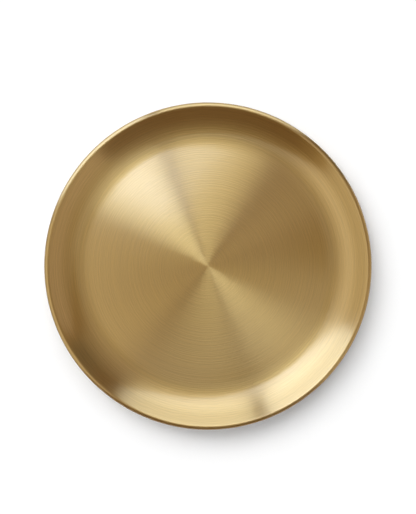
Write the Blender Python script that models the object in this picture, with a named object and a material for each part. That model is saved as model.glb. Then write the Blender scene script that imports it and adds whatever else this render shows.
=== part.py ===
"""Round serving tray: a spun brass pan, the wire inside its rolled rim, and taped non-slip feet.

Metres, +Z up. The origin is on the tray's axis, at the level of the table that the feet stand on.
"""

import math

import bmesh
import bpy

# Pan, one spun sheet
TRAY_DIAMETER = 0.320
SHEET = 0.0009
COVE_RADIUS = 0.050
WALL_ANGLE = math.radians(35.0)
WALL_LENGTH = 0.0092

# Rolled rim and the wire inside it
WIRE_DIAMETER = 0.0040
WIRE_CLEARANCE = 0.0003
CURL_MOUTH = 0.0004

# Feet under the floor, each with its adhesive disc
FOOT_COUNT = 4
FOOT_FIRST_ANGLE = math.radians(45.0)
FOOT_DIAMETER = 0.022
FOOT_HEIGHT = 0.0025
FOOT_ROUNDING = 0.0008
FOOT_EDGE_INSET = 0.006
TAPE_DIAMETER = 0.016
TAPE_THICKNESS = 0.0008
TAPE_RECESS_DEPTH = 0.0007
TAPE_SIDE_CLEARANCE = 0.0004
SEAT_GAP = 0.0003

# Facets
TRAY_FACETS = 72
COVE_FACETS = 8
CURL_FACETS = 16
WIRE_FACETS = 12
FOOT_FACETS = 24
ROUNDING_FACETS = 3
SMOOTH_ANGLE = math.radians(35.0)

# Heights, from the table up
recess_floor_z = FOOT_HEIGHT - TAPE_RECESS_DEPTH
tape_bottom_z = recess_floor_z + SEAT_GAP
pan_bottom_z = tape_bottom_z + TAPE_THICKNESS + SEAT_GAP
floor_mid_z = pan_bottom_z + SHEET / 2

# The curl wraps the wire, and its outer side is the tray's outermost circle
curl_mid_radius = WIRE_DIAMETER / 2 + WIRE_CLEARANCE + SHEET / 2
bead_radius = curl_mid_radius + SHEET / 2
cove_mid_radius = COVE_RADIUS + SHEET / 2
wire_circle_radius = TRAY_DIAMETER / 2 - bead_radius
wall_end_radius = wire_circle_radius - curl_mid_radius * math.sin(WALL_ANGLE)
wall_start_radius = wall_end_radius - WALL_LENGTH * math.cos(WALL_ANGLE)
floor_radius = wall_start_radius - cove_mid_radius * math.sin(WALL_ANGLE)
cove_centre_z = floor_mid_z + cove_mid_radius
wall_start_z = cove_centre_z - cove_mid_radius * math.cos(WALL_ANGLE)
wall_end_z = wall_start_z + WALL_LENGTH * math.sin(WALL_ANGLE)
wire_z = wall_end_z - curl_mid_radius * math.cos(WALL_ANGLE)

# The curl stops where its outer corner is CURL_MOUTH short of the wall's underside
mouth_cosine = (WIRE_DIAMETER / 2 + WIRE_CLEARANCE - CURL_MOUTH) / bead_radius
curl_sweep = 2 * math.pi - math.acos(mouth_cosine)

foot_circle_radius = floor_radius - FOOT_EDGE_INSET - FOOT_DIAMETER / 2


def clear_scene():
    """Remove every object of the scene."""
    for obj in list(bpy.data.objects):
        bpy.data.objects.remove(obj, do_unlink=True)


def finish(name, colour, roughness, metallic):
    """Make a Principled BSDF material of one colour."""
    material = bpy.data.materials.new(name)
    material.use_nodes = True
    shader = material.node_tree.nodes["Principled BSDF"]
    shader.inputs["Base Color"].default_value = (*colour, 1.0)
    shader.inputs["Roughness"].default_value = roughness
    shader.inputs["Metallic"].default_value = metallic
    return material


def arc(centre_r, centre_z, radius, start, end, facets):
    """Return the points of an arc in the (radius, height) plane, both ends included."""
    points = []
    for step in range(facets + 1):
        angle = start + (end - start) * step / facets
        points.append((centre_r + radius * math.cos(angle), centre_z + radius * math.sin(angle)))
    return points


def turned_mesh(name, outline, facets):
    """Turn an outline of (radius, height) points, which starts and ends on the axis, about Z."""
    shape = bmesh.new()
    points = [shape.verts.new((radius, 0.0, height)) for radius, height in outline]
    edges = [shape.edges.new(pair) for pair in zip(points, points[1:])]
    bmesh.ops.spin(
        shape,
        geom=points + edges,
        cent=(0, 0, 0),
        axis=(0, 0, 1),
        angle=2 * math.pi,
        steps=facets,
        use_merge=True,
    )
    bmesh.ops.remove_doubles(shape, verts=shape.verts, dist=1e-6)
    bmesh.ops.recalc_face_normals(shape, faces=shape.faces)
    mesh = bpy.data.meshes.new(name)
    shape.to_mesh(mesh)
    shape.free()
    return mesh


def place(name, mesh, material, parent, location=(0, 0, 0), turn=0.0):
    """Put a mesh in the scene as a named, smoothly shaded piece on its parent."""
    mesh.shade_smooth()
    mesh.set_sharp_from_angle(angle=SMOOTH_ANGLE)
    mesh.materials.append(material)
    piece = bpy.data.objects.new(name, mesh)
    bpy.context.scene.collection.objects.link(piece)
    piece.parent = parent
    piece.location = location
    piece.rotation_euler.z = turn
    return piece


def add_axis(name, parent=None, location=(0, 0, 0), turn=0.0):
    """Add an empty that carries other pieces."""
    empty = bpy.data.objects.new(name, None)
    bpy.context.scene.collection.objects.link(empty)
    empty.parent = parent
    empty.location = location
    empty.rotation_euler.z = turn
    return empty


def sheet_side(offset):
    """Return one side of the sheet from the axis to the raw edge of the curl.

    The offset is from the middle of the sheet, positive on the serving side.
    """
    floor_centre = [(0.0, floor_mid_z + offset)]
    down = -math.pi / 2
    cove = arc(
        floor_radius, cove_centre_z, cove_mid_radius - offset, down, down + WALL_ANGLE, COVE_FACETS
    )
    curl_start = math.pi / 2 + WALL_ANGLE
    curl = arc(
        wire_circle_radius,
        wire_z,
        curl_mid_radius + offset,
        curl_start,
        curl_start - curl_sweep,
        CURL_FACETS,
    )
    return floor_centre + cove + curl


def add_pan(parent):
    """Spin the pan: flat floor, coved wall and the curl that holds the rim wire."""
    outline = sheet_side(SHEET / 2) + sheet_side(-SHEET / 2)[::-1]
    brass = finish("brushed_brass", (0.62, 0.42, 0.16), 0.35, 1.0)
    place("tray_pan", turned_mesh("tray_pan", outline, TRAY_FACETS), brass, parent)


def add_rim_wire(parent):
    """Add the butt-welded wire ring that the rim is rolled around."""
    bpy.ops.mesh.primitive_torus_add(
        major_segments=TRAY_FACETS,
        minor_segments=WIRE_FACETS,
        major_radius=wire_circle_radius,
        minor_radius=WIRE_DIAMETER / 2,
    )
    made = bpy.context.object
    mesh = made.data
    bpy.data.objects.remove(made)
    steel = finish("galvanised_steel", (0.42, 0.43, 0.44), 0.45, 1.0)
    place("rim_wire", mesh, steel, parent, location=(0, 0, wire_z))


def foot_outline():
    """Return a foot's half section: flat tread, rounded edge, and the recess for its tape on top."""
    outer = FOOT_DIAMETER / 2
    recess = TAPE_DIAMETER / 2 + TAPE_SIDE_CLEARANCE
    rounding_r = outer - FOOT_ROUNDING
    tread_edge = arc(rounding_r, FOOT_ROUNDING, FOOT_ROUNDING, 0.0, -math.pi / 2, ROUNDING_FACETS)
    top = [(0.0, recess_floor_z), (recess, recess_floor_z), (recess, FOOT_HEIGHT), (outer, FOOT_HEIGHT)]
    return top + tread_edge + [(0.0, 0.0)]


def add_feet(parent):
    """Add the silicone feet and the adhesive discs that hold them to the floor."""
    silicone = finish("dark_silicone", (0.035, 0.032, 0.030), 0.6, 0.0)
    acrylic = finish("adhesive_foam", (0.55, 0.54, 0.50), 0.7, 0.0)
    tape_radius = TAPE_DIAMETER / 2
    tape_outline = [(0.0, TAPE_THICKNESS), (tape_radius, TAPE_THICKNESS), (tape_radius, 0.0), (0.0, 0.0)]
    for index in range(FOOT_COUNT):
        number = index + 1
        angle = FOOT_FIRST_ANGLE + index * 2 * math.pi / FOOT_COUNT
        across = (foot_circle_radius * math.cos(angle), foot_circle_radius * math.sin(angle), 0.0)
        seat = add_axis(f"foot_seat_{number}", parent, across, angle)
        foot_mesh = turned_mesh(f"foot_{number}", foot_outline(), FOOT_FACETS)
        place(f"foot_{number}", foot_mesh, silicone, seat)
        tape_mesh = turned_mesh(f"adhesive_disc_{number}", tape_outline, FOOT_FACETS)
        place(f"adhesive_disc_{number}", tape_mesh, acrylic, seat, location=(0, 0, tape_bottom_z))


def main():
    """Build the tray around one upright axis."""
    clear_scene()
    axis = add_axis("tray_axis")
    add_pan(axis)
    add_rim_wire(axis)
    add_feet(axis)
    bpy.context.view_layer.update()


main()
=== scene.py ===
"""Round serving tray in lathe-brushed brass, dressed and lit for a studio picture from straight above.

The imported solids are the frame. Each of them is replaced by a finer piece of the same size and place:
the spun pan, the wire in its rolled rim, the silicone feet and their adhesive discs. A tent of tall
softboxes around the tray draws the fan of light that brushed rings show.
"""

import logging
import math
from dataclasses import dataclass
from enum import Enum
from typing import Callable, ClassVar

import bpy
from mathutils import Matrix, Vector


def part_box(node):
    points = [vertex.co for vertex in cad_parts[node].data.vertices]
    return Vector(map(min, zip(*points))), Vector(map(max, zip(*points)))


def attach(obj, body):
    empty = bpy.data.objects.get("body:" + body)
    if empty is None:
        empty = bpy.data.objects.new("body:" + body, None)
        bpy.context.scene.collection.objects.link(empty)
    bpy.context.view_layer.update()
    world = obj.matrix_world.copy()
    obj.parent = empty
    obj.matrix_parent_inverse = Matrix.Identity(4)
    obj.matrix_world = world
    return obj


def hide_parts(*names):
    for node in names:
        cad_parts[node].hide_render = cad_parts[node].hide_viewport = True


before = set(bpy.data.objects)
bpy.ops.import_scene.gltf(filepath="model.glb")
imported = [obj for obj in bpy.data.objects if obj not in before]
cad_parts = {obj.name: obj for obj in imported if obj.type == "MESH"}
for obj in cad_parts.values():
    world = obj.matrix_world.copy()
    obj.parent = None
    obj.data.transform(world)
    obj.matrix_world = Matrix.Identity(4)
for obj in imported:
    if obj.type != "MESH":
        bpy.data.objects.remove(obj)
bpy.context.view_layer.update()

log = logging.getLogger("serving_tray")

Colour = tuple[float, float, float]
Section = list[tuple[float, float]]
Feed = bpy.types.NodeSocket | float | tuple[float, ...]
Feeds = dict[str | int, Feed]
Canvas = tuple["NodeSheet", bpy.types.Node, bpy.types.NodeSocket, bpy.types.Material]

BODY = "root"

IMAGE_WIDTH = 416
IMAGE_HEIGHT = 514
TRAY_CENTRE_PX = (207.91, 266.13)
TRAY_RADIUS_PX = 163.68


class Side(Enum):
    """The two sides of the pan's sheet, by material slot."""

    SERVING = 0
    UNDER = 1


class Lit(Enum):
    """What a light tent shines on: the gloss of metal, or matt surfaces."""

    GLOSS = "gloss"
    MATT = "matt"


class Step(Enum):
    """Which elements an edit-mode step works on."""

    VERTS = "VERT"
    EDGES = "EDGE"
    FACES = "FACE"


@dataclass
class NodeSheet:
    """A node tree being drawn, with short calls that add a node and join its inputs."""

    MIX_COLOURS: ClassVar[tuple[int, int]] = (6, 7)
    MIX_VALUES: ClassVar[tuple[int, int]] = (2, 3)

    tree: bpy.types.NodeTree

    @classmethod
    def blank(cls, owner: bpy.types.Material | bpy.types.World) -> "NodeSheet":
        """Start on the emptied node tree of a material or a world.

        Args:
            owner: The material or the world.

        Returns:
            The sheet to draw on.
        """
        owner.use_nodes = True
        owner.node_tree.nodes.clear()
        return cls(owner.node_tree)

    def add(self, kind: str, feeds: Feeds | None = None, **settings: object) -> bpy.types.Node:
        """Add a node.

        Args:
            kind: The node's Blender type.
            feeds: What goes into each input: a socket to link, or a value to set.
            **settings: The node's own properties.

        Returns:
            The new node.
        """
        node = self.tree.nodes.new(kind)
        for name, value in settings.items():
            setattr(node, name, value)
        for key, value in (feeds or {}).items():
            self.feed(node.inputs[key], value)
        return node

    def feed(self, socket: bpy.types.NodeSocket, value: Feed) -> None:
        """Link a socket to an input, or set the input's value.

        Args:
            socket: The input.
            value: A socket to link, or a value to set.
        """
        if isinstance(value, bpy.types.NodeSocket):
            self.tree.links.new(value, socket)
        else:
            socket.default_value = value

    def maths(self, operation: str, *values: Feed) -> bpy.types.NodeSocket:
        """Return the result of a Math node."""
        return self.add("ShaderNodeMath", dict(enumerate(values)), operation=operation).outputs[0]

    def vector_maths(self, operation: str, *values: Feed) -> bpy.types.NodeSocket:
        """Return the vector result of a Vector Math node."""
        node = self.add("ShaderNodeVectorMath", dict(enumerate(values)), operation=operation)
        return node.outputs["Vector"]

    def spread(self, value: Feed, low: float, high: float) -> bpy.types.NodeSocket:
        """Return a 0 to 1 value spread over another range."""
        feeds = {"Value": value, "To Min": low, "To Max": high}
        return self.add("ShaderNodeMapRange", feeds).outputs["Result"]

    def blend(self, factor: Feed, first: Feed, second: Feed) -> bpy.types.NodeSocket:
        """Mix two colours.

        Args:
            factor: The share of the second colour, from 0 to 1.
            first: The first colour.
            second: The second colour.

        Returns:
            The mixed colour.
        """
        node = self.add("ShaderNodeMix", {0: factor}, data_type="RGBA")
        for index, colour in zip(self.MIX_COLOURS, (first, second)):
            self.feed(node.inputs[index], (*colour, 1.0) if isinstance(colour, tuple) else colour)
        return node.outputs[2]

    def between(self, factor: Feed, first: Feed, second: Feed) -> bpy.types.NodeSocket:
        """Return a value between two others."""
        feeds = {0: factor} | dict(zip(self.MIX_VALUES, (first, second)))
        return self.add("ShaderNodeMix", feeds).outputs[0]


class MarkGroups:
    """Shader node groups for the marks that several finishes share."""

    FULL_DROP: ClassVar[float] = 0.3
    SPECKLE_DETAIL: ClassVar[float] = 3.0

    def __init__(self) -> None:
        """Build each group once."""
        self.lathe = self._lathe_lines()
        self.speckle = self._speckle()

    @staticmethod
    def _new_group(name: str, inputs: dict[str, str], output: str) -> tuple[NodeSheet, dict, bpy.types.Node]:
        """Start a node group.

        Args:
            name: The group's name.
            inputs: Each input's name and socket type.
            output: The name of its one value output.

        Returns:
            The sheet to draw on, the input sockets by name, and the output node.
        """
        tree = bpy.data.node_groups.new(name, "ShaderNodeTree")
        for label, kind in inputs.items():
            tree.interface.new_socket(label, in_out="INPUT", socket_type=kind)
        tree.interface.new_socket(output, in_out="OUTPUT", socket_type="NodeSocketFloat")
        sheet = NodeSheet(tree)
        sources = sheet.add("NodeGroupInput").outputs
        return sheet, {label: sources[label] for label in inputs}, sheet.add("NodeGroupOutput")

    def _lathe_lines(self) -> bpy.types.NodeTree:
        """Build rings about the Z axis, broken up around each turn.

        Returns:
            The group, whose Line runs from a ring's valley at 0 to its ridge at 1.
        """
        inputs = {
            "Position": "NodeSocketVector",
            "Spacing": "NodeSocketFloat",
            "Breaks": "NodeSocketFloat",
        }
        sheet, source, out = self._new_group("lathe_lines", inputs, "Line")
        flat = sheet.vector_maths("MULTIPLY", source["Position"], (1.0, 1.0, 0.0))
        radius = sheet.add("ShaderNodeVectorMath", {0: flat}, operation="LENGTH").outputs["Value"]
        turns = sheet.maths("DIVIDE", radius, source["Spacing"])
        outward = sheet.vector_maths("NORMALIZE", flat)
        around = sheet.add("ShaderNodeSeparateXYZ", {0: outward})
        place = sheet.add(
            "ShaderNodeCombineXYZ",
            {
                0: turns,
                1: sheet.maths("MULTIPLY", around.outputs[0], source["Breaks"]),
                2: sheet.maths("MULTIPLY", around.outputs[1], source["Breaks"]),
            },
        )
        beside = sheet.vector_maths("ADD", place.outputs[0], (1.0, 0.0, 0.0))
        ridge, valley = (
            sheet.add("ShaderNodeTexNoise", {"Vector": spot, "Scale": 1.0, "Detail": 0.0}).outputs[0]
            for spot in (place.outputs[0], beside)
        )
        drop = sheet.maths("SUBTRACT", ridge, valley)
        feeds = {"Value": drop, "From Min": -self.FULL_DROP, "From Max": self.FULL_DROP}
        sheet.feed(out.inputs["Line"], sheet.add("ShaderNodeMapRange", feeds).outputs["Result"])
        return sheet.tree

    def _speckle(self) -> bpy.types.NodeTree:
        """Build an even fine speckle.

        Returns:
            The group, whose Value runs from 0 to 1.
        """
        inputs = {"Position": "NodeSocketVector", "Size": "NodeSocketFloat"}
        sheet, source, out = self._new_group("speckle", inputs, "Value")
        density = sheet.maths("DIVIDE", 1.0, source["Size"])
        scaling = {0: source["Position"], "Scale": density}
        place = sheet.add("ShaderNodeVectorMath", scaling, operation="SCALE").outputs["Vector"]
        feeds = {"Vector": place, "Scale": 1.0, "Detail": self.SPECKLE_DETAIL}
        sheet.feed(out.inputs["Value"], sheet.add("ShaderNodeTexNoise", feeds).outputs[0])
        return sheet.tree


@dataclass(frozen=True)
class Finish:
    """What every finish has: a name and a Principled material."""

    name: str

    def start(self, metallic: float) -> Canvas:
        """Make the material.

        Args:
            metallic: The shader's metallic value.

        Returns:
            The sheet to draw on, the Principled shader, the object coordinates and the material.
        """
        material = bpy.data.materials.new(self.name)
        material.use_nodes = True
        sheet = NodeSheet(material.node_tree)
        shader = material.node_tree.nodes["Principled BSDF"]
        shader.inputs["Metallic"].default_value = metallic
        place = sheet.add("ShaderNodeTexCoord").outputs["Object"]
        return sheet, shader, place, material


@dataclass(frozen=True)
class BrushedBrass(Finish):
    """Lacquered brass brushed in rings on a lathe."""

    light: Colour = (0.725, 0.469, 0.158)
    dark: Colour = (0.607, 0.392, 0.133)
    smooth: float = 0.2755
    rough: float = 0.2855
    anisotropy: float = 1.0
    grain_turn: float = 0.25
    line_spacing: float = 0.00108
    line_breaks: float = 1.2
    line_depth: float = 0.00004
    hair_spacing: float = 0.0007
    hair_breaks: float = 14.0
    hair_depth: float = 0.00001
    hair_share: float = 0.5
    band_spacing: float = 0.009
    band_breaks: float = 0.8
    band_share: float = 0.08
    lacquer: float = 1.0
    lacquer_index: float = 1.8
    lacquer_roughness: float = 0.15

    def material(self, marks: MarkGroups) -> bpy.types.Material:
        """Build the material with its ring lines and the grain direction around the axis.

        Args:
            marks: The shared groups.

        Returns:
            The material.
        """
        sheet, shader, place, material = self.start(1.0)
        lines = self._rings(sheet, marks, place, self.line_spacing, self.line_breaks)
        hairs = self._rings(sheet, marks, place, self.hair_spacing, self.hair_breaks)
        bands = self._rings(sheet, marks, place, self.band_spacing, self.band_breaks)
        fine = sheet.between(self.hair_share, lines, hairs)
        mixed = sheet.between(self.band_share, fine, bands)
        sheet.feed(shader.inputs["Base Color"], sheet.blend(mixed, self.dark, self.light))
        sheet.feed(shader.inputs["Roughness"], sheet.spread(mixed, self.rough, self.smooth))
        relief = sheet.maths("MULTIPLY", lines, self.line_depth)
        relief = sheet.maths("MULTIPLY_ADD", hairs, self.hair_depth, relief)
        grooves = sheet.add("ShaderNodeBump", {"Height": relief, "Strength": 1.0, "Distance": 1.0})
        sheet.feed(shader.inputs["Normal"], grooves.outputs["Normal"])
        grain = sheet.vector_maths("CROSS_PRODUCT", (0.0, 0.0, 1.0), place)
        sheet.feed(shader.inputs["Tangent"], sheet.vector_maths("NORMALIZE", grain))
        shader.inputs["Anisotropic"].default_value = self.anisotropy
        shader.inputs["Anisotropic Rotation"].default_value = self.grain_turn
        shader.inputs["Coat Weight"].default_value = self.lacquer
        shader.inputs["Coat IOR"].default_value = self.lacquer_index
        shader.inputs["Coat Roughness"].default_value = self.lacquer_roughness
        return material

    @staticmethod
    def _rings(
        sheet: NodeSheet, marks: MarkGroups, place: bpy.types.NodeSocket, spacing: float, breaks: float
    ) -> bpy.types.NodeSocket:
        """Place the ring group in the material.

        Args:
            sheet: The material's sheet.
            marks: The shared groups.
            place: Object coordinates.
            spacing: The distance between rings.
            breaks: How often a ring changes in one turn.

        Returns:
            The ring value.
        """
        node = sheet.add("ShaderNodeGroup", node_tree=marks.lathe)
        for name, value in (("Position", place), ("Spacing", spacing), ("Breaks", breaks)):
            sheet.feed(node.inputs[name], value)
        return node.outputs["Line"]


@dataclass(frozen=True)
class SpeckledFinish(Finish):
    """A plain material with a fine speckle in its colour, roughness and surface."""

    light: Colour
    dark: Colour
    smooth: float
    rough: float
    grain: float
    relief: float
    metallic: float = 0.0

    def material(self, marks: MarkGroups) -> bpy.types.Material:
        """Build the material.

        Args:
            marks: The shared groups.

        Returns:
            The material.
        """
        sheet, shader, place, material = self.start(self.metallic)
        speckle = sheet.add("ShaderNodeGroup", node_tree=marks.speckle)
        sheet.feed(speckle.inputs["Position"], place)
        sheet.feed(speckle.inputs["Size"], self.grain)
        value = speckle.outputs["Value"]
        sheet.feed(shader.inputs["Base Color"], sheet.blend(value, self.dark, self.light))
        sheet.feed(shader.inputs["Roughness"], sheet.spread(value, self.smooth, self.rough))
        bump = sheet.add("ShaderNodeBump", {"Height": value, "Strength": 1.0, "Distance": self.relief})
        sheet.feed(shader.inputs["Normal"], bump.outputs["Normal"])
        return material


SERVING_BRASS = BrushedBrass("serving_brass")
UNDER_BRASS = BrushedBrass("under_brass", smooth=0.3, rough=0.37, line_depth=0.000016)
ZINC_WIRE = SpeckledFinish(
    "zinc_wire",
    light=(0.47, 0.48, 0.49),
    dark=(0.36, 0.37, 0.38),
    smooth=0.35,
    rough=0.55,
    grain=0.0012,
    relief=0.00001,
    metallic=1.0,
)
SILICONE = SpeckledFinish(
    "moulded_silicone",
    light=(0.045, 0.042, 0.04),
    dark=(0.026, 0.024, 0.023),
    smooth=0.5,
    rough=0.68,
    grain=0.0003,
    relief=0.00001,
)
FOAM = SpeckledFinish(
    "adhesive_foam",
    light=(0.62, 0.61, 0.57),
    dark=(0.44, 0.43, 0.4),
    smooth=0.6,
    rough=0.85,
    grain=0.00035,
    relief=0.00006,
)


class Bench:
    """Edit-mode steps on one new mesh, each as it would be done by hand."""

    NEAR: ClassVar[float] = 0.000001
    SQUARE_ON: ClassVar[float] = 0.999

    @staticmethod
    def clear_selection() -> None:
        """Leave edit mode and select nothing."""
        if bpy.context.object and bpy.context.object.mode != "OBJECT":
            bpy.ops.object.mode_set(mode="OBJECT")
        bpy.ops.object.select_all(action="DESELECT")

    @staticmethod
    def edit(step: Step) -> None:
        """Enter edit mode on the active object, with nothing selected.

        Args:
            step: The elements that the next step works on.
        """
        bpy.ops.object.mode_set(mode="EDIT")
        bpy.ops.mesh.select_mode(type=step.value)
        bpy.ops.mesh.select_all(action="DESELECT")

    @classmethod
    def pick_edges(cls, obj: bpy.types.Object, wanted: Callable[[list[Vector]], bool]) -> None:
        """Enter edit mode with the edges selected whose two ends pass a test.

        Args:
            obj: The active object.
            wanted: The test, which is given the two ends.
        """
        cls.edit(Step.EDGES)
        bpy.ops.object.mode_set(mode="OBJECT")
        points = obj.data.vertices
        for edge in obj.data.edges:
            edge.select = wanted([points[index].co for index in edge.vertices])
        bpy.ops.object.mode_set(mode="EDIT")

    @classmethod
    def pick_face(cls, obj: bpy.types.Object, facing: Vector) -> None:
        """Enter edit mode with the largest face selected among those that face one way.

        Args:
            obj: The active object.
            facing: The way they face.
        """
        cls.edit(Step.FACES)
        bpy.ops.object.mode_set(mode="OBJECT")
        faces = [face for face in obj.data.polygons if face.normal.dot(facing) > cls.SQUARE_ON]
        max(faces, key=lambda face: face.area).select = True
        bpy.ops.object.mode_set(mode="EDIT")

    @staticmethod
    def pull_ring(start: tuple[float, float], end: tuple[float, float]) -> None:
        """Extrude the selected ring of edges.

        Args:
            start: The ring's radius and height.
            end: The radius and height that it is drawn out to.
        """
        scale = end[0] / start[0]
        bpy.ops.mesh.extrude_edges_move()
        bpy.ops.transform.resize(value=(scale, scale, 1.0), center_override=(0.0, 0.0, 0.0))
        bpy.ops.transform.translate(value=(0.0, 0.0, end[1] - start[1]))

    @staticmethod
    def apply(obj: bpy.types.Object, name: str, kind: str, **settings: object) -> None:
        """Add a modifier to the active object and apply it.

        Args:
            obj: The active object.
            name: The modifier's name.
            kind: Its Blender type.
            **settings: Its properties.
        """
        modifier = obj.modifiers.new(name, kind)
        for key, value in settings.items():
            setattr(modifier, key, value)
        bpy.ops.object.modifier_apply(modifier=name)


def arc(centre: tuple[float, float], radius: float, start: float, end: float, steps: int) -> Section:
    """Return an arc in the (radius, height) plane.

    Args:
        centre: The arc's centre.
        radius: Its radius.
        start: The angle of its first point.
        end: The angle of its last point.
        steps: How many straight steps it takes.

    Returns:
        Its points, both ends included.
    """
    angles = [start + (end - start) * step / steps for step in range(steps + 1)]
    return [(centre[0] + radius * math.cos(angle), centre[1] + radius * math.sin(angle)) for angle in angles]


@dataclass
class TrayPan:
    """The pan: one spun sheet with a flat floor, a coved wall and a rim rolled over a wire."""

    outer_radius: float
    under_z: float
    rim_top_z: float
    wire_z: float
    sheet: float = 0.0009
    cove_radius: float = 0.05
    cove_ease: float = 0.013
    wall_angle: float = math.radians(35.0)
    wall_length: float = 0.0092
    curl_mouth: float = 0.0004
    floor_margin: float = 0.0006
    facets: int = 384
    cove_steps: int = 32
    fit_passes: int = 12
    wall_steps: int = 4
    curl_steps: int = 40
    raw_edge_rounding: float = 0.0002
    raw_edge_steps: int = 2
    raw_edge_angle: float = math.radians(60.0)

    @property
    def bead_radius(self) -> float:
        """The outside radius of the rolled rim."""
        return self.rim_top_z - self.wire_z

    @property
    def curl_mid_radius(self) -> float:
        """The radius of the curl, at the middle of the sheet."""
        return self.bead_radius - self.sheet / 2

    @property
    def wire_circle_radius(self) -> float:
        """The radius of the circle that the rim wire follows."""
        return self.outer_radius - self.bead_radius

    @property
    def floor_mid_z(self) -> float:
        """The height of the middle of the floor's sheet."""
        return self.under_z + self.sheet / 2

    @property
    def wall_start(self) -> tuple[float, float]:
        """Where the cove turns into the straight wall, at the middle of the sheet.

        Returns:
            The radius and the height.
        """
        wall_end_r = self.wire_circle_radius - self.curl_mid_radius * math.sin(self.wall_angle)
        wall_end_z = self.wire_z + self.curl_mid_radius * math.cos(self.wall_angle)
        run = self.wall_length * math.cos(self.wall_angle)
        rise = self.wall_length * math.sin(self.wall_angle)
        return wall_end_r - run, wall_end_z - rise

    def eased_bend(self, bend_radius: float) -> Section:
        """Return a bend from level to the wall's angle that tightens slowly from its start.

        Args:
            bend_radius: Its radius once it has tightened.

        Returns:
            Its points, from the origin.
        """
        length = self.cove_ease / 2 + self.wall_angle * bend_radius
        step = length / self.cove_steps
        points = [(0.0, 0.0)]
        for index in range(self.cove_steps):
            along = (index + 0.5) * step
            eased = min(along, self.cove_ease)
            slope = eased**2 / (2 * bend_radius * self.cove_ease) + (along - eased) / bend_radius
            run, rise = points[-1]
            points.append((run + step * math.cos(slope), rise + step * math.sin(slope)))
        return points

    def cove(self) -> Section:
        """Fit the cove between the floor and the wall.

        Returns:
            Its points at the middle of the sheet, from the floor up.
        """
        wall_r, wall_z = self.wall_start
        bend_radius = self.cove_radius
        for _ in range(self.fit_passes):
            bend = self.eased_bend(bend_radius)
            bend_radius *= (wall_z - self.floor_mid_z) / bend[-1][1]
        start_r = wall_r - bend[-1][0]
        return [(start_r + run, self.floor_mid_z + rise) for run, rise in bend]

    def section(self) -> Section:
        """Draw the section of the sheet past the flat floor.

        Returns:
            The points of its middle, from the edge of the floor to the raw edge of the curl.
        """
        cove = self.cove()
        mouth = math.acos((self.bead_radius - self.sheet - self.curl_mouth) / self.bead_radius)
        curl_start = math.pi / 2 + self.wall_angle
        curl = arc(
            (self.wire_circle_radius, self.wire_z),
            self.curl_mid_radius,
            curl_start,
            curl_start - (2 * math.pi - mouth),
            self.curl_steps,
        )
        wall = [
            tuple(Vector(cove[-1]).lerp(Vector(curl[0]), step / self.wall_steps))
            for step in range(1, self.wall_steps)
        ]
        return cove + wall + curl

    def build(self, marks: MarkGroups) -> bpy.types.Object:
        """Spin the sheet, dress both its sides and give it its thickness.

        Args:
            marks: The shared mark groups.

        Returns:
            The pan.
        """
        pan = self._spin_sheet()
        self._face_floor_up(pan)
        for finish in (SERVING_BRASS, UNDER_BRASS):
            pan.data.materials.append(finish.material(marks))
        self._thicken(pan)
        bpy.ops.object.shade_smooth()
        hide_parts("tray_pan")
        return pan

    def _spin_sheet(self) -> bpy.types.Object:
        """Draw a disc out, ring by ring, along the section.

        Returns:
            The sheet, without thickness.
        """
        rings = self.section()
        first = (rings[0][0] - self.floor_margin, self.floor_mid_z)
        Bench.clear_selection()
        bpy.ops.mesh.primitive_circle_add(
            vertices=self.facets, radius=first[0], fill_type="TRIFAN", location=(0.0, 0.0, first[1])
        )
        pan = bpy.context.object
        pan.name = "spun_pan"
        bpy.ops.object.transform_apply(location=True)
        Bench.edit(Step.EDGES)
        bpy.ops.mesh.select_all(action="SELECT")
        bpy.ops.mesh.region_to_loop()
        for start, end in zip([first] + rings, rings):
            Bench.pull_ring(start, end)
        bpy.ops.mesh.select_all(action="SELECT")
        bpy.ops.mesh.remove_doubles(threshold=Bench.NEAR)
        bpy.ops.mesh.normals_make_consistent(inside=False)
        bpy.ops.object.mode_set(mode="OBJECT")
        return pan

    def _thicken(self, pan: bpy.types.Object) -> None:
        """Give the sheet its thickness, and round the raw edge of the curl.

        Args:
            pan: The sheet.
        """
        Bench.apply(
            pan,
            "sheet",
            "SOLIDIFY",
            thickness=self.sheet,
            offset=0.0,
            use_even_offset=True,
            material_offset=Side.UNDER.value,
            material_offset_rim=Side.UNDER.value,
        )
        Bench.apply(
            pan,
            "raw_edge",
            "BEVEL",
            width=self.raw_edge_rounding,
            segments=self.raw_edge_steps,
            limit_method="ANGLE",
            angle_limit=self.raw_edge_angle,
        )

    @staticmethod
    def _face_floor_up(pan: bpy.types.Object) -> None:
        """Turn the sheet's faces over if the floor faces down.

        Args:
            pan: The sheet.
        """
        floor_face = min(pan.data.polygons, key=lambda face: face.center.xy.length)
        if floor_face.normal.z < 0:
            Bench.edit(Step.FACES)
            bpy.ops.mesh.select_all(action="SELECT")
            bpy.ops.mesh.flip_normals()
            bpy.ops.object.mode_set(mode="OBJECT")


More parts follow.
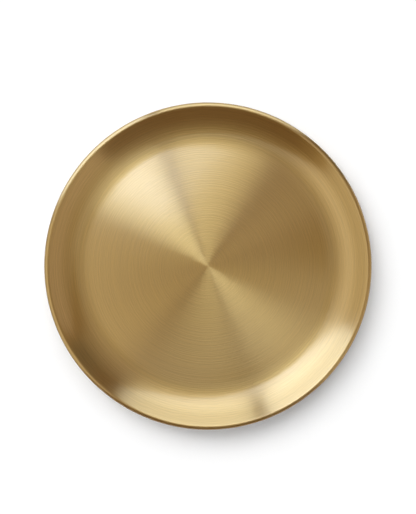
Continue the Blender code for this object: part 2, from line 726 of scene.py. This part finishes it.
@dataclass
class RimWire:
    """The butt-welded steel wire inside the rolled rim."""

    circle_radius: float
    wire_radius: float
    centre_z: float
    turns: int = 240
    sides: int = 24
    weld_angle: float = math.radians(200.0)
    weld_reach: float = 0.0022
    weld_swell: float = 0.00008

    def build(self, marks: MarkGroups) -> bpy.types.Object:
        """Bend the wire into its ring, swell the weld and dress it.

        Args:
            marks: The shared mark groups.

        Returns:
            The wire.
        """
        Bench.clear_selection()
        bpy.ops.mesh.primitive_torus_add(
            location=(0.0, 0.0, self.centre_z),
            major_radius=self.circle_radius,
            minor_radius=self.wire_radius,
            major_segments=self.turns,
            minor_segments=self.sides,
        )
        wire = bpy.context.object
        wire.name = "welded_wire"
        bpy.ops.object.transform_apply(location=True)
        weld = self.circle_radius * Vector((math.cos(self.weld_angle), math.sin(self.weld_angle)))
        Bench.edit(Step.VERTS)
        bpy.ops.object.mode_set(mode="OBJECT")
        for vertex in wire.data.vertices:
            vertex.select = (vertex.co.xy - weld).length < self.weld_reach + self.wire_radius
        bpy.ops.object.mode_set(mode="EDIT")
        bpy.ops.transform.shrink_fatten(value=self.weld_swell)
        bpy.ops.object.mode_set(mode="OBJECT")
        bpy.ops.object.shade_smooth()
        wire.data.materials.append(ZINC_WIRE.material(marks))
        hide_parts("rim_wire")
        return wire


@dataclass
class Foot:
    """A moulded silicone foot: a ringed tread below, and a recess above for its adhesive disc."""

    centre: Vector
    radius: float
    height: float
    sides: int = 96
    tread_rounding: float = 0.0008
    top_rounding: float = 0.0002
    rounding_steps: int = 5
    recess_radius: float = 0.0084
    recess_depth: float = 0.0007
    tread_land: float = 0.0013
    groove_width: float = 0.0007
    groove_slope: float = 0.0002
    groove_depth: float = 0.0003
    groove_count: int = 3
    gate_radius: float = 0.001
    gate_depth: float = 0.0002
    smooth_angle: float = math.radians(40.0)

    def build(self, marks: MarkGroups) -> bpy.types.Object:
        """Shape the tread and the recess out of a disc, and dress it.

        Args:
            marks: The shared mark groups.

        Returns:
            The foot.
        """
        Bench.clear_selection()
        bpy.ops.mesh.primitive_cylinder_add(
            vertices=self.sides,
            radius=self.radius,
            depth=self.height,
            location=(self.centre.x, self.centre.y, self.height / 2),
        )
        foot = bpy.context.object
        foot.name = "moulded_foot"
        bpy.ops.object.transform_apply(location=True)
        self._round_rims(foot)
        self._cut_tread(foot)
        self._sink_recess(foot)
        bpy.ops.object.shade_smooth_by_angle(angle=self.smooth_angle)
        foot.data.materials.append(SILICONE.material(marks))
        return foot

    def _round_rims(self, foot: bpy.types.Object) -> None:
        """Round the edge of the tread, and break the upper edge.

        Args:
            foot: The plain disc.
        """
        for height, rounding in ((0.0, self.tread_rounding), (self.height, self.top_rounding)):
            Bench.pick_edges(foot, lambda ends, z=height: all(abs(end.z - z) < Bench.NEAR for end in ends))
            bpy.ops.mesh.bevel(offset=rounding, segments=self.rounding_steps, affect="EDGES")
            bpy.ops.object.mode_set(mode="OBJECT")

    def _cut_tread(self, foot: bpy.types.Object) -> None:
        """Press grip rings and the mould's gate mark into the tread.

        Args:
            foot: The rounded disc.
        """
        Bench.pick_face(foot, Vector((0.0, 0.0, -1.0)))
        for _ in range(self.groove_count):
            bpy.ops.mesh.inset(thickness=self.tread_land, depth=0.0)
            bpy.ops.mesh.inset(thickness=self.groove_slope, depth=-self.groove_depth)
            bpy.ops.mesh.inset(thickness=self.groove_width, depth=0.0)
            bpy.ops.mesh.inset(thickness=self.groove_slope, depth=self.groove_depth)
        ring = self.tread_land + 2 * self.groove_slope + self.groove_width
        left = self.radius - self.tread_rounding - self.groove_count * ring
        bpy.ops.mesh.inset(thickness=left - self.gate_radius, depth=0.0)
        bpy.ops.mesh.inset(thickness=self.groove_slope, depth=-self.gate_depth)
        bpy.ops.object.mode_set(mode="OBJECT")

    def _sink_recess(self, foot: bpy.types.Object) -> None:
        """Sink the recess for the adhesive disc into the top.

        Args:
            foot: The rounded disc.
        """
        Bench.pick_face(foot, Vector((0.0, 0.0, 1.0)))
        bpy.ops.mesh.inset(thickness=self.radius - self.top_rounding - self.recess_radius, depth=0.0)
        bpy.ops.mesh.extrude_region_move(TRANSFORM_OT_translate={"value": (0.0, 0.0, -self.recess_depth)})
        bpy.ops.object.mode_set(mode="OBJECT")


@dataclass
class AdhesiveDisc:
    """A disc of double-sided foam tape, pressed flat between a foot and the pan."""

    centre: Vector
    radius: float
    thickness: float
    sides: int = 72
    edge_rounding: float = 0.00022
    rounding_steps: int = 3
    press_margin: float = 0.0009
    press_depth: float = 0.00004
    smooth_angle: float = math.radians(40.0)

    def build(self, marks: MarkGroups) -> bpy.types.Object:
        """Round the disc's cut edges, press its faces and dress it.

        Args:
            marks: The shared mark groups.

        Returns:
            The disc.
        """
        Bench.clear_selection()
        bpy.ops.mesh.primitive_cylinder_add(
            vertices=self.sides, radius=self.radius, depth=self.thickness, location=self.centre
        )
        disc = bpy.context.object
        disc.name = "foam_disc"
        bpy.ops.object.transform_apply(location=True)
        for side in (-1.0, 1.0):
            rim_z = self.centre.z + side * self.thickness / 2
            Bench.pick_edges(disc, lambda ends, z=rim_z: all(abs(end.z - z) < Bench.NEAR for end in ends))
            bpy.ops.mesh.bevel(offset=self.edge_rounding, segments=self.rounding_steps, affect="EDGES")
            bpy.ops.object.mode_set(mode="OBJECT")
            Bench.pick_face(disc, Vector((0.0, 0.0, side)))
            bpy.ops.mesh.inset(thickness=self.press_margin, depth=-self.press_depth)
            bpy.ops.object.mode_set(mode="OBJECT")
        bpy.ops.object.shade_smooth_by_angle(angle=self.smooth_angle)
        disc.data.materials.append(FOAM.material(marks))
        return disc


@dataclass
class FootSet:
    """The taped feet under the floor, each made once and copied to its seat."""

    count: int = 4
    foot_slot: str = "dark_silicone"
    disc_slot: str = "adhesive_foam"

    def build(self, marks: MarkGroups) -> list[bpy.types.Object]:
        """Make the first foot and disc where the frame has them, and copy both to the other seats.

        Args:
            marks: The shared mark groups.

        Returns:
            The feet and the discs.
        """
        seats = [self.middle(f"foot_{number}") for number in range(1, self.count + 1)]
        low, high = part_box("foot_1")
        foot = Foot(seats[0], (high[0] - low[0]) / 2, high[2]).build(marks)
        low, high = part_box("adhesive_disc_1")
        disc_centre = self.middle("adhesive_disc_1")
        disc = AdhesiveDisc(disc_centre, (high[0] - low[0]) / 2, high[2] - low[2]).build(marks)
        pieces = []
        for number, seat in enumerate(seats, start=1):
            for first, name, node, slot in (
                (foot, f"moulded_foot_{number}", f"foot_{number}", self.foot_slot),
                (disc, f"foam_disc_{number}", f"adhesive_disc_{number}", self.disc_slot),
            ):
                piece = first if number == 1 else self.copy(first, seat - seats[0])
                piece.name = name
                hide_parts(node)
                pieces.append(piece)
        return pieces

    @staticmethod
    def middle(node: str) -> Vector:
        """Return the middle of a node's box."""
        low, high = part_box(node)
        return (Vector(low) + Vector(high)) / 2

    @staticmethod
    def copy(first: bpy.types.Object, shift: Vector) -> bpy.types.Object:
        """Copy a piece, with a mesh of its own.

        Args:
            first: The piece.
            shift: The way from its seat to the copy's.

        Returns:
            The copy.
        """
        piece = first.copy()
        piece.data = first.data.copy()
        piece.data.transform(Matrix.Translation(shift))
        bpy.context.scene.collection.objects.link(piece)
        return piece


@dataclass(frozen=True)
class Softbox:
    """One tall glowing panel of the light tent.

    Each edge is given by its azimuths in degrees at the tent's upper and lower marks. Both glows are
    given at the tent's glow marks, from its top down to its skirt. Only gloss shows the tint.
    """

    name: str
    right_edge: tuple[float, float]
    left_edge: tuple[float, float]
    tint: Colour
    gloss_glow: tuple[float, ...]
    matt_glow: tuple[float, ...] = ()

    def colours(self, lit: Lit) -> list[Colour]:
        """Return the light at each glow mark.

        Args:
            lit: What it shines on. Matt surfaces get white light.

        Returns:
            The colours from the top down, or none where the panel gives no such light.
        """
        if lit is Lit.MATT:
            return [(glow, glow, glow) for glow in self.matt_glow]
        return [tuple(glow * part for part in self.tint) for glow in self.gloss_glow]


@dataclass
class LightTent:
    """A dome of softboxes around the tray, centred on its axis.

    The panels hang in layers, each a little further out than the one before, so that where two of them
    meet near the top the first one hides the other.
    """

    HORIZON: ClassVar[float] = math.radians(90.0)

    lit: Lit
    radius: float
    upper_mark: float = math.radians(25.0)
    lower_mark: float = math.radians(65.0)
    top_opening: float = math.radians(1.0)
    skirt: float = math.radians(88.0)
    glow_marks: tuple[float, ...] = tuple(math.radians(mark) for mark in (5.0, 15.0, 32.0, 60.0, 85.0))
    layer_gap: float = 0.01
    segments: int = 72
    rings: int = 36

    def direction(self, azimuth: float, zenith: float) -> Vector:
        """Point from the tent's centre to a place on the dome.

        Args:
            azimuth: The angle around the tray's axis, in degrees.
            zenith: The angle down from the top, in radians.

        Returns:
            The direction.
        """
        turn = math.radians(azimuth)
        across = math.sin(zenith)
        return Vector((across * math.cos(turn), across * math.sin(turn), math.cos(zenith)))

    def edge_normal(self, edge: tuple[float, float]) -> Vector:
        """Find the plane through the tent's centre that an edge lies in.

        Args:
            edge: The edge's azimuths at the upper and lower marks.

        Returns:
            The plane's normal.
        """
        upper = self.direction(edge[0], self.upper_mark)
        lower = self.direction(edge[1], self.lower_mark)
        return lower.cross(upper).normalized()

    def add(self, box: Softbox, layer: int) -> bpy.types.Object:
        """Cut one softbox out of the dome and light it.

        Args:
            box: Its edges and glow.
            layer: How many panels hang in front of it.

        Returns:
            The panel.
        """
        radius = self.radius * (1.0 + layer * self.layer_gap)
        Bench.clear_selection()
        bpy.ops.mesh.primitive_uv_sphere_add(
            segments=self.segments, ring_count=self.rings, radius=radius, location=(0.0, 0.0, 0.0)
        )
        panel = bpy.context.object
        panel.name = f"{box.name}_{self.lit.value}"
        centre = Vector((0.0, 0.0, 0.0))
        up = Vector((0.0, 0.0, 1.0))
        cuts = [
            (centre, self.edge_normal(box.right_edge)),
            (centre, -self.edge_normal(box.left_edge)),
            (up * (radius * math.cos(self.top_opening)), up),
            (up * (radius * math.cos(self.skirt)), -up),
        ]
        bpy.ops.object.mode_set(mode="EDIT")
        for point, outside in cuts:
            bpy.ops.mesh.select_all(action="SELECT")
            bpy.ops.mesh.bisect(plane_co=point, plane_no=outside, clear_outer=True)
        bpy.ops.object.mode_set(mode="OBJECT")
        panel.data.materials.append(self.glow(box))
        panel.visible_camera = False
        panel.visible_diffuse = self.lit is Lit.MATT
        panel.visible_glossy = self.lit is Lit.GLOSS
        panel.visible_shadow = self.lit is Lit.MATT
        return panel

    def glow(self, box: Softbox) -> bpy.types.Material:
        """Make a softbox's light, which changes from the top of the tent down to its skirt.

        Args:
            box: Its glow and its tint.

        Returns:
            The material.
        """
        material = bpy.data.materials.new(f"{box.name}_{self.lit.value}")
        sheet = NodeSheet.blank(material)
        place = sheet.add("ShaderNodeTexCoord").outputs["Object"]
        outward = sheet.vector_maths("NORMALIZE", place)
        zenith = sheet.maths("ARCCOSINE", sheet.add("ShaderNodeSeparateXYZ", {0: outward}).outputs[2])
        ramp = sheet.add("ShaderNodeValToRGB", {0: sheet.maths("DIVIDE", zenith, self.HORIZON)})
        colours = box.colours(self.lit)
        peak = max(max(colour) for colour in colours)
        stops = ramp.color_ramp.elements
        while len(stops) < len(colours):
            stops.new(1.0)
        for stop, mark, colour in zip(stops, self.glow_marks, colours):
            stop.position = mark / self.HORIZON
            stop.color = (*(part / peak for part in colour), 1.0)
        light = sheet.add("ShaderNodeEmission", {"Color": ramp.outputs[0], "Strength": peak})
        sheet.add("ShaderNodeOutputMaterial", {"Surface": light.outputs[0]})
        return material


SOFTBOXES = (
    Softbox(
        "top_softbox",
        right_edge=(66.0, 54.0),
        left_edge=(108.0, 108.0),
        tint=(0.88, 1.0, 1.1),
        gloss_glow=(3.0, 2.2, 2.1, 1.3, 0.2),
        matt_glow=(0.8, 1.0, 2.0, 3.0, 0.0),
    ),
    Softbox(
        "key_softbox",
        right_edge=(113.5, 112.0),
        left_edge=(151.0, 157.0),
        tint=(0.84, 1.0, 1.27),
        gloss_glow=(5.0, 2.9, 2.5, 1.8, 0.6),
        matt_glow=(1.0, 0.0, 2.4, 6.8, 0.0),
    ),
    Softbox(
        "left_bounce",
        right_edge=(151.5, 158.0),
        left_edge=(239.0, 217.0),
        tint=(1.05, 1.0, 0.8),
        gloss_glow=(0.3, 0.65, 1.1, 0.5, 0.25),
        matt_glow=(6.0, 3.2, 0.6, 1.2, 0.0),
    ),
    Softbox(
        "right_bounce",
        right_edge=(307.5, 314.0),
        left_edge=(369.0, 388.5),
        tint=(1.17, 1.0, 0.76),
        gloss_glow=(1.0, 0.4, 0.2, 0.55, 0.3),
    ),
    Softbox(
        "corner_bounce",
        right_edge=(386.0, 389.5),
        left_edge=(425.0, 403.0),
        tint=(1.19, 1.0, 0.76),
        gloss_glow=(0.45, 0.35, 0.25, 0.1, 0.0),
    ),
)

# Matt light comes from far off, so that it falls evenly on the whole table.
TENTS = (LightTent(Lit.GLOSS, radius=1.25), LightTent(Lit.MATT, radius=200.0))


@dataclass
class Studio:
    """The white table, the room light and the camera above the tray."""

    table_half_width: float = 3.0
    table_colour: Colour = (0.94, 0.94, 0.94)
    # Painted shade: the metal sees the table greyer than the camera does, which darkens the rim's outer edge
    # in its reflection.
    table_shaded_in_metal: Colour = (0.6, 0.6, 0.6)
    room_colour: Colour = (0.13, 0.063, 0.021)
    room_fill: Colour = (0.06, 0.06, 0.06)
    light_from_below: Colour = (0.8, 0.8, 0.8)
    backdrop: Colour = (1.0, 1.0, 1.0)
    camera_height: float = 0.8
    sensor_height: float = 36.0

    def add_table(self) -> None:
        """Lay the white table, which keeps the tray's shadow.

        A view from below passes through it, and so does the light in that view, so that the
        underside can be looked at as well.
        """
        Bench.clear_selection()
        bpy.ops.mesh.primitive_plane_add(size=2 * self.table_half_width, location=(0.0, 0.0, 0.0))
        table = bpy.context.object
        table.name = "white_table"
        material = bpy.data.materials.new("white_table")
        sheet = NodeSheet.blank(material)
        ray = sheet.add("ShaderNodeLightPath").outputs
        # Glossy rays see the greyer table: painted shade in the metal's reflections of it.
        tone = sheet.blend(ray["Is Glossy Ray"], self.table_colour, self.table_shaded_in_metal)
        matt = sheet.add("ShaderNodeBsdfDiffuse", {"Color": tone})
        clear = sheet.add("ShaderNodeBsdfTransparent")
        from_below = sheet.add("ShaderNodeNewGeometry").outputs["Backfacing"]
        opening = sheet.maths("MAXIMUM", from_below, ray["Transparent Depth"])
        surface = sheet.add("ShaderNodeMixShader", {0: opening, 1: matt.outputs[0], 2: clear.outputs[0]})
        sheet.add("ShaderNodeOutputMaterial", {"Surface": surface.outputs[0]})
        table.data.materials.append(material)

    def add_room(self) -> None:
        """Give the room a dim warm light, and show white to the camera past the table.

        Below the table the light grows from the horizon to straight down.
        """
        world = bpy.data.worlds.new("room")
        bpy.context.scene.world = world
        sheet = NodeSheet.blank(world)
        ray = sheet.add("ShaderNodeLightPath").outputs
        room = sheet.blend(ray["Is Diffuse Ray"], self.room_colour, self.room_fill)
        direction = sheet.add("ShaderNodeTexCoord").outputs["Generated"]
        height = sheet.add("ShaderNodeSeparateXYZ", {0: direction}).outputs[2]
        depth = sheet.maths("MULTIPLY", height, -1.0)
        room = sheet.blend(depth, room, self.light_from_below)
        colour = sheet.blend(ray["Is Camera Ray"], room, self.backdrop)
        light = sheet.add("ShaderNodeBackground", {"Color": colour, "Strength": 1.0})
        sheet.add("ShaderNodeOutputWorld", {"Surface": light.outputs[0]})

    def add_camera(self, rim_radius: float, rim_z: float) -> None:
        """Hang the camera over the tray so that its rim lands where the photograph has it.

        Args:
            rim_radius: The tray's outside radius.
            rim_z: The height of its widest circle.
        """
        data = bpy.data.cameras.new("overhead")
        camera = bpy.data.objects.new("overhead", data)
        bpy.context.scene.collection.objects.link(camera)
        camera.location = (0.0, 0.0, self.camera_height)
        focal_px = TRAY_RADIUS_PX * (self.camera_height - rim_z) / rim_radius
        data.sensor_fit = "VERTICAL"
        data.sensor_height = self.sensor_height
        data.lens = focal_px * self.sensor_height / IMAGE_HEIGHT
        data.shift_x = (IMAGE_WIDTH / 2 - TRAY_CENTRE_PX[0]) / IMAGE_HEIGHT
        data.shift_y = (TRAY_CENTRE_PX[1] - IMAGE_HEIGHT / 2) / IMAGE_HEIGHT
        bpy.context.scene.camera = camera


def main() -> None:
    """Build the tray and its studio."""
    logging.basicConfig(level=logging.INFO, format="%(message)s")
    bpy.context.scene.view_settings.view_transform = "Standard"
    low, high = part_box("tray_pan")
    marks = MarkGroups()
    wire_low, wire_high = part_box("rim_wire")
    wire_z = (wire_low[2] + wire_high[2]) / 2
    wire_radius = (wire_high[2] - wire_low[2]) / 2
    pan = TrayPan(outer_radius=high[0], under_z=low[2], rim_top_z=high[2], wire_z=wire_z)
    wire = RimWire(wire_high[0] - wire_radius, wire_radius, wire_z)
    pieces = [pan.build(marks), wire.build(marks)] + FootSet().build(marks)
    for piece in pieces:
        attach(piece, BODY)
        log.info("%s: %d faces", piece.name, len(piece.data.polygons))
    for tent in TENTS:
        for layer, box in enumerate(SOFTBOXES):
            if box.colours(tent.lit):
                tent.add(box, layer)
    studio = Studio()
    studio.add_table()
    studio.add_room()
    studio.add_camera(pan.outer_radius, pan.wire_z)


if __name__ == "__main__":
    main()
